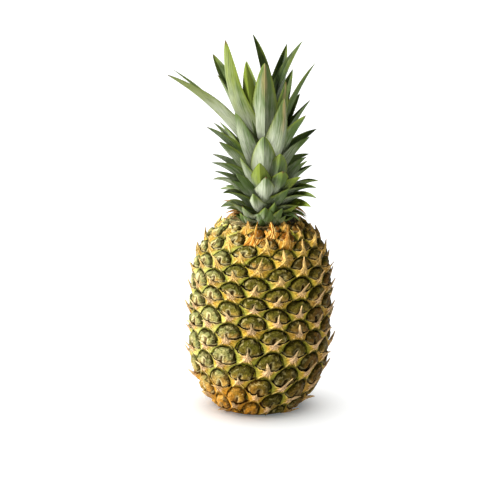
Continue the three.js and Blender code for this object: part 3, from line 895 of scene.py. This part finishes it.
def tell(part):
    """Prints how many nodes the finish has after a part of it."""
    print(coat.material.name, part, len(coat.tree.nodes), "nodes")


def varnish(roughness, height, depth):
    """Sets the painted colour, the roughness and a bump of that height and depth in metres."""
    normal = node("ShaderNodeBump", {}, {"Height": height, "Distance": depth, "Strength": 1.0})
    fill(coat.shader, {"Base Color": coat.colour, "Roughness": roughness, "Normal": normal})
    tell("in all")


# %% [markdown]
# ## White floor
# Studio paper is white with a faint bluish glow. A brighter lamp would light the leaves from below, so the
# paper gives off a little light of its own.

# %% White floor
coat = Finish("white_floor", 0.2, [floor])
fill(coat.shader, {"Base Color": (0.93, 0.93, 0.93, 1), "Roughness": 0.9})
fill(coat.shader, {"Emission Color": (0.83, 0.93, 1.0, 1), "Emission Strength": 0.17})
print(coat.material.name, "on", floor.name)

# %% [markdown]
# ## Rind finish
# Sepals are dark olive, dulled by a pale bloom on the left that is partly painted light from the key, and the
# skin is browner on the right, partly as painted shade. Round the slit the skin dries to tan and orange, and
# wrinkles run out from it. Grooves, creases and hollows are darkened as painted shade, the lips of the plate
# and of the slit carry painted highlights, and the gold at the base is partly painted bounce light. An image
# would stretch over the relief, so all of it comes from the places that the mesh carries.

# %% Zones of the fruit
GROOVE_DARK_AND_SHADE, OLIVE_DARK_AND_SHADE, OLIVE = (0.018, 0.013, 0.0004, 1), (0.034, 0.026, 0.001, 1), (0.092, 0.07, 0.004, 1)
OLIVE_PALE, BLOOM, DRY = (0.29, 0.21, 0.032, 1), (0.51, 0.47, 0.17, 1), (0.56, 0.3, 0.07, 1)
GOLD_AND_BOUNCE, BARK_AND_SHADE, RUST = (0.68, 0.28, 0.022, 1), (0.14, 0.062, 0.01, 1), (0.34, 0.08, 0.004, 1)
CORNER, SEPAL_GREEN, CHIP_AND_GLINT = (0.18, 0.17, 0.01, 1), (0.062, 0.064, 0.005, 1), (0.6, 0.5, 0.2, 1)
HOLLOW_SHADE, EMBER, LEMON = (0.03, 0.016, 0.002, 1), (0.12, 0.04, 0.002, 1), (0.84, 0.78, 0.24, 1)
GREY_GREEN, CREAM_AND_HIGHLIGHT, SLOT = (0.19, 0.22, 0.078, 1), (0.82, 0.73, 0.36, 1), (0.24, 0.12, 0.03, 1)
LIT_SIDE_BLOOM = (0.44, 0.41, 0.14, 1)


def zones():
    """How far a spot lies to the left, to the right, and low down off the right, with uneven borders."""
    x, _, z = split(place())
    patch = noise(28.0, 2.0)
    left = (x * -1.0 + patch * 0.03 + z.step(0.13, 0.165) * 0.012).step(0.02, 0.062)
    right = (x + patch * 0.04).step(0.028, 0.075)
    low = (z * -1.0 + patch * 0.05).step(-0.026, 0.012) * (1 - (x + patch * 0.03).step(0.0, 0.03))
    return left, right, low


print("grooves", GROOVE_DARK_AND_SHADE[:3])

# %% Rind finish
coat = Finish("rind_skin", 0.06, [rind])
across, up, edge = split(layer("cell"))
luck_a, luck_b, luck_c = split(layer("luck"))
dried_share, sepal, cave = split(layer("form"))
rim = split(layer("rim"))[0]
left, right, low = zones()
fine, mottle, patchy = noise(600.0, 3.0), noise(260.0, 4.0), noise(110.0, 2.0)
wrinkle = streaks(across, up - 0.2, luck_a, 4.0)
speckle = mottle + fine * 0.8 + wrinkle * 0.2
upper = up + patchy * 0.5 + wrinkle * 0.3
rough_rim = rim + fine * 0.3 + patchy * 0.3

# olive, green above, pale bloom: paler and thicker on the left as painted light from the key, thinner on the
# right, with grey-green rims on the left
coat.colour = blend((speckle + sepal * 0.3 + luck_a * 0.4).step(1.26, 1.72), OLIVE, OLIVE_PALE)
paint(upper.step(0.45, 0.95) * 0.6, SEPAL_GREEN)
bloom_and_lit_side = (speckle * 0.8 + patchy * 0.5 + left * 0.5 + luck_b * 0.2).step(1.3, 1.65)
paint(bloom_and_lit_side * (0.6 - right * 0.42 + left * 0.04), blend(left * 0.8, BLOOM, LIT_SIDE_BLOOM))
paint(rough_rim.step(0.86, 1.16) * left * 0.65, GREY_GREEN)
tell("olive and bloom")

# %% Dry, golden and brown skin
near_slit = 1 - (upper + mottle * 0.4).step(0.4, 1.0)
paint(near_slit * (luck_c * 0.6 + wrinkle + fine * 0.5).step(0.75, 1.25) * 0.8, DRY)
# gold low down: partly ripe colour, partly painted bounce light from the floor
paint(low * ((luck_b + patchy * 0.4).step(0.3, 0.9) * 0.4 + 0.36), GOLD_AND_BOUNCE)
# dark brown on the right: partly dry skin, partly painted shade on the side away from the key
paint(right * (luck_b + patchy).step(0.5, 1.1) * 0.8, BARK_AND_SHADE)
paint(dried_share * (mottle + patchy * 0.5).step(0.5, 0.9), RUST)
paint(dried_share * 0.75, EMBER)
tell("dry skin")

# %% Creases, chips and grooves, with painted shade and highlights
paint((patchy + fine * 0.3).step(0.66, 0.8) * 0.75, OLIVE_DARK_AND_SHADE)
# creases where the sepals meet: painted shade
paint((1 - (sepal + mottle * 0.6 + fine * 0.4).step(0.72, 1.02)) * 0.85, OLIVE_DARK_AND_SHADE)
# pale flecks on the plate's lip: partly chipped skin, partly painted highlights where the lip catches the
# key, fewer on the right
chips_and_glints = (fine * 0.5 + mottle * 0.8 + patchy * 0.4 + luck_b * 0.1).step(0.92, 1.08)
lip_share = rim.step(0.62, 0.8) * (1 - rim.step(0.94, 1.0))
paint(chips_and_glints * lip_share * (1 - right * 0.6) * 0.6, CHIP_AND_GLINT)
# a dark ring just outside the plate: painted shade at the edge of the groove
paint(rough_rim.step(1.16, 1.34) * 0.55, OLIVE_DARK_AND_SHADE)
# grooves round each plate and along the cell edge: dark green deepened to near black as painted shade,
# orange-brown low down
groove_shade = blend(low * 0.8, GROOVE_DARK_AND_SHADE, EMBER)
paint((rim + fine * 0.08).step(1.02, 1.07), groove_shade)
paint((rim + fine * 0.1).step(1.14, 1.19), CORNER)
tell("creases and grooves")

# %% Slit, pale lips and cell edge, with painted shade and highlights
ragged_cave = cave + fine * 0.2
# pale lips round the slit, stronger on the left: partly their own colour, partly painted highlight
paint(ragged_cave.step(0.12, 0.26) * (left * 0.55 + 0.15), CREAM_AND_HIGHLIGHT)
# the slit and the gap under the bract's rim: near black as painted shade, brown on the left where the dried
# flower shows
paint(ragged_cave.step(0.5, 0.9) * 0.9, blend(left * 0.5, HOLLOW_SHADE, SLOT))
# the groove along the cell's edge: painted shade as above
paint(edge.step(0.92, 0.96), groove_shade)
# more gold low down, partly painted bounce light from the floor
paint(low * (patchy + mottle * 0.3).step(0.55, 0.8) * 0.5, GOLD_AND_BOUNCE)
varnish(0.3 + fine * 0.3, fine * 0.9 + wrinkle * 0.15 + mottle + sepal * 0.4, 0.0034)

# %% [markdown]
# ## Bract finish
# A bract is yellow with green flanks and a dark lower edge, partly painted shade where its foot tucks into
# the groove. Its star is pale, pinkish at the heart, with a painted highlight along the free rim, its spine
# dry and cream, and in front at the neck the bracts have dried to orange. Bracts are paler on the left as
# painted light from the key, browner on the right as painted shade, and golden low down partly as painted
# bounce light. The colours could be baked to an image; worked out from the same places as the relief, they
# stay sharp.

# %% Bract finish
BRACT_YELLOW, BRACT_GREEN, BRACT_EDGE_AND_SHADE = (0.86, 0.57, 0.046, 1), (0.25, 0.23, 0.014, 1), (0.05, 0.05, 0.002, 1)
STAR, HEART, SPINE = (0.98, 0.68, 0.2, 1), (1.0, 0.66, 0.35, 1), (0.95, 0.7, 0.33, 1)
TAN_AND_SHADE, ORANGE, AMBER = (0.5, 0.27, 0.06, 1), (0.56, 0.225, 0.022, 1), (0.78, 0.41, 0.04, 1)
STREAK, LEMON_GREEN, DRY_SPINE_AND_SHADE = (0.12, 0.05, 0.006, 1), (0.44, 0.46, 0.1, 1), (0.6, 0.36, 0.14, 1)
STAR_GOLD = (0.94, 0.6, 0.1, 1)
coat = Finish("bract_scale", 0.08, [bracts])
across, up, edge = split(layer("cell"))
heart, spine, aside = split(layer("star"))
dried_share, shoulder, _ = split(layer("neck"))
luck_a, luck_b, luck_c = split(layer("luck"))
left, right, low = zones()
fine, patchy = noise(600.0, 4.0), noise(140.0, 3.0)
grain = streaks(across, up + 0.2, luck_b, 9.0)
down = maths("MAXIMUM", up * -1.33 - 0.42)
off_leg = maths("ABSOLUTE", aside - down * 0.5)
leg = (1 - (off_leg + fine * 0.08).step(0.04, 0.24)) * (1 - spine)
near_rim = 1 - edge.step(0.0, 0.25)
tell("places")

# %% Yellow, green flanks and heart
green = aside * aside * 0.55 + edge * 0.3 - leg * 0.25 - near_rim * 0.2
green = green - patchy * 0.5 - grain * 0.4 - luck_a * 0.35
# paler lemon bracts towards the left: partly their own colour, partly painted light from the key
pale_and_lit = (left * 0.75 + 0.25) * (1 - low) * (1 - right * 0.7) * (luck_b + patchy).step(0.1, 0.6)
yellow, flank = blend(pale_and_lit, BRACT_YELLOW, LEMON), blend(pale_and_lit * 0.9, BRACT_GREEN, LEMON_GREEN)
coat.colour = blend(green.step(-0.72, -0.28), yellow, flank)
# gold low down on the bracts: partly ripe colour, partly painted bounce light from the floor
paint(low * (luck_b + patchy * 0.5).step(0.0, 0.5) * 0.85, GOLD_AND_BOUNCE)
paint((heart + grain * 0.7 + luck_c * 0.4).step(0.5, 1.05) * 0.85, AMBER)
# tan on the right: partly dry bracts, partly painted shade on the side away from the key
paint(right * (luck_c + patchy).step(0.6, 1.15) * 0.8, TAN_AND_SHADE)
tell("flanks")

# %% Star, blots and veins, with a painted highlight on the rim and painted shade at the foot
# the pale star follows the legs as the bract's own colour; along the free rim it is a painted highlight, and
# cream on the left is painted light
star_and_rim_highlight = leg * 0.9 + near_rim * 0.7 + grain * 0.5 - edge * 0.2
paint(star_and_rim_highlight.step(0.52, 1.08) * 0.9, blend(pale_and_lit * left * 0.6, STAR, CREAM_AND_HIGHLIGHT))
paint((heart + grain * 0.6).step(0.68, 1.0) * 0.9, blend(shoulder * 0.75, HEART, STAR_GOLD))
paint((patchy * 0.6 + fine * 0.7 + luck_c * 0.2).step(0.74, 0.92) * 0.4, OLIVE)
veins = (grain + fine * 0.3).step(0.64, 0.74) * (heart.step(0.1, 0.4) + 0.5)
paint(veins * 0.65 * (1 - spine), STREAK)
# dark lower edge: partly dark green, partly painted shade where the foot tucks into the groove
paint((edge + fine * 0.3 + patchy * 0.3).step(0.95, 1.25) * 0.9, BRACT_EDGE_AND_SHADE)
tell("star and veins")

# %% Spine and the dried bracts
# spines browner on the right: partly dry, partly painted shade
spine_colour = blend(right * 0.7, blend(shoulder * 0.55, SPINE, STAR_GOLD), DRY_SPINE_AND_SHADE)
paint((spine + grain * 0.3).step(0.25, 0.85), spine_colour)
flame = ribbon(across * 9.0 + luck_b * 60.0 + fine * 0.6)
dried = blend(flame.step(0.54, 0.62), ORANGE, RUST)
dried = blend(1 - flame.step(0.4, 0.48), dried, STAR)
paint((dried_share + patchy * 0.5 + spine * 0.2).step(0.5, 1.0), dried)
# more gold low down, partly painted bounce light from the floor
paint(low * (patchy + fine * 0.3).step(0.45, 0.75) * 0.5, GOLD_AND_BOUNCE)
varnish(0.42 + fine * 0.2, fine * 0.4 + grain * 0.8 + leg * 1.2 + near_rim * 0.6, 0.0014)

# %% [markdown]
# ## Leaf finish
# The outer face of a leaf is grey-green under a whitish wax bloom, its inner face deep green, its edge a thin
# dark line. The wax is laid thicker on the crown's left side and on the left half of each blade as painted
# light from the key, and the base of each blade is darkened as painted shade. Long leaves turn yellow-green
# towards the point. Plain noise would look like marble, so it is drawn out into fibres along each leaf.

# %% Leaf finish
LEAF_DEEP_AND_SHADE, LEAF_INNER, LEAF_OUTER = (0.016, 0.034, 0.003, 1), (0.12, 0.18, 0.032, 1), (0.088, 0.14, 0.032, 1)
LEAF_BLOOM, LEAF_YELLOW = (0.7, 0.74, 0.56, 1), (0.24, 0.3, 0.026, 1)
LEAF_EDGE, LEAF_TIP, LEAF_DRY = (0.045, 0.05, 0.01, 1), (0.12, 0.055, 0.018, 1), (0.38, 0.28, 0.12, 1)
coat = Finish("crown_leaf", 0.2, [*whorls, stem])
across, along, back = split(layer("blade"))
luck_a, luck_b, size = split(layer("luck"))
ripening, drying, waxy = split(layer("age"))
fibre, smear, patchy = strands(0.9, 0.03, 1.5, 4.0), strands(0.18, 0.045, 1.0, 3.0), noise(60.0)
short, outward = 1 - size.step(0.25, 0.55), across * across
# the crown's left side and the left half of each blade take more pale wax: painted light from the key
painted_light_left = (split(place())[0] * -1.0 + patchy * 0.02).step(0.015, 0.05)
wax_and_painted_light = fibre * 0.8 + smear * 0.6 + waxy * 0.4 + short * 0.22 + painted_light_left * 0.46 - along * 0.8 - across * 0.15
inner = blend((fibre * 0.6 + patchy * 0.5 + luck_a * 0.3).step(0.5, 1.05), LEAF_DEEP_AND_SHADE, LEAF_INNER)
inner = blend(wax_and_painted_light.step(0.5, 1.2) * 0.7, inner, LEAF_BLOOM)
outer = blend(wax_and_painted_light.step(0.4, 1.2), LEAF_OUTER, LEAF_BLOOM)
coat.colour = blend(back, inner, outer)
paint((along * 0.6 + smear * 0.7 + ripening * 0.5).step(0.95, 1.35) * 0.7, LEAF_YELLOW)
paint(fibre.step(0.56, 0.72) * 0.65, LEAF_DEEP_AND_SHADE)
# the lowest part of each blade is darkened where leaves overlap: painted shade
paint((1 - (along + smear * 0.2).step(0.1, 0.6)) * (short * 0.25 + 0.2), LEAF_DEEP_AND_SHADE)
scorched = (smear * 0.5 + fibre * 0.7 + along * 0.8 - outward * 1.2).step(0.98, 1.3)
paint(scorched * drying.step(0.55, 0.9) * 0.65, LEAF_DRY)
paint(outward.step(0.84, 1.0) * 0.8, LEAF_EDGE)
paint(along.step(0.94, 1.0) * luck_a.step(0.62, 0.72), LEAF_TIP)
paint((outward + smear * 0.4).step(0.55, 1.15) * (luck_b + smear * 0.5).step(0.4, 0.9) * 0.55, LEAF_YELLOW)
varnish(0.36 + fibre * 0.15 + back * 0.14, fibre + smear * 0.3, 0.001)

# %% [markdown]
# ## Dry scale finish
# The lowest scales of the crown have died back: tan, streaked with rust, pale and frayed at the edge. A flat
# tan would do at this size, but the fibres are there already, so they drive the streaks.

# %% Dry scale finish
SCALE_PALE, SCALE_TAN, SCALE_RUST = (0.72, 0.5, 0.22, 1), (0.5, 0.24, 0.055, 1), (0.16, 0.05, 0.01, 1)
coat = Finish("dry_scale", 0.2, [collar])
across, along, _ = split(layer("blade"))
fibre = strands(1.2, 0.1, 1.5, 4.0)
coat.colour = blend((fibre + split(layer("luck"))[1] * 0.2).step(0.45, 0.7), SCALE_RUST, SCALE_TAN)
paint((across * across * 0.6 + fibre * 0.6 + along * 0.2).step(0.65, 0.95), SCALE_PALE)
varnish(0.6 + fibre * 0.2, fibre, 0.0008)
